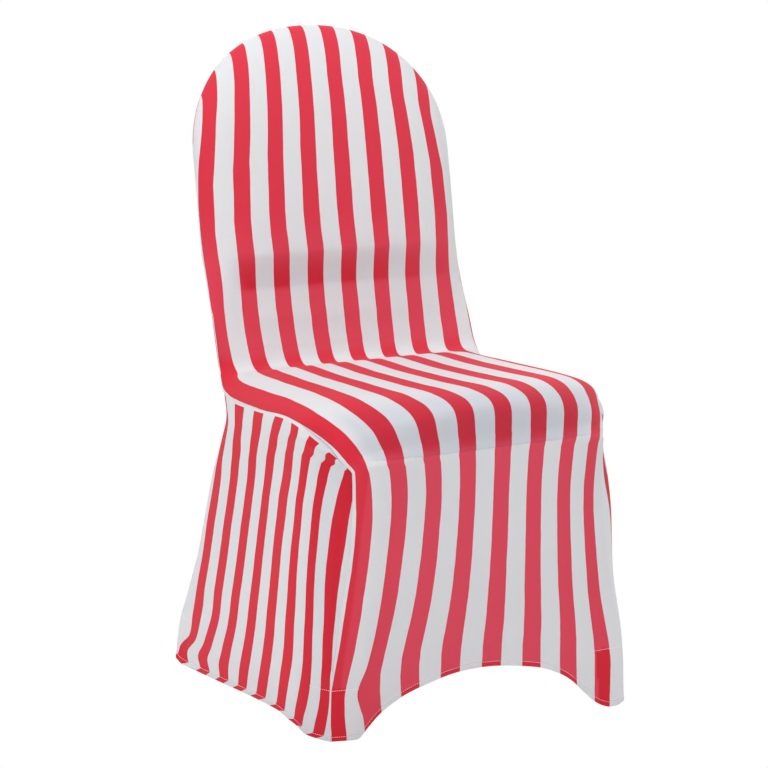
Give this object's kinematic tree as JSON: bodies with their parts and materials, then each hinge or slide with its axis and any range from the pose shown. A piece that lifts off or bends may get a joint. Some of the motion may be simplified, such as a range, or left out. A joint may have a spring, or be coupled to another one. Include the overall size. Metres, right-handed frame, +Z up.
{
  "type": "fitted chair cover",
  "caption": "Fitted stretch cover in red and white stripes for a round-backed banquet chair, hollow, with arched hems and foot pockets.",
  "frame": {"origin": "centre of the cover's footprint, on the floor", "axes": "+Z up, -Y the way the chair faces, +X towards the right as seen from in front"},
  "size_m": [0.5107, 0.5542, 0.9198],
  "materials": {
    "striped_cloth": "matt knit",
    "pocket_cloth": "matt knit"
  },
  "bodies": {
    "root": {"front_panel": "striped_cloth", "back_panel": "striped_cloth", "side_panel_left": "striped_cloth", "side_panel_right": "striped_cloth", "foot_pocket_front_left": "pocket_cloth", "foot_pocket_front_right": "pocket_cloth", "foot_pocket_rear_left": "pocket_cloth", "foot_pocket_rear_right": "pocket_cloth"}
  },
  "joints": []
}
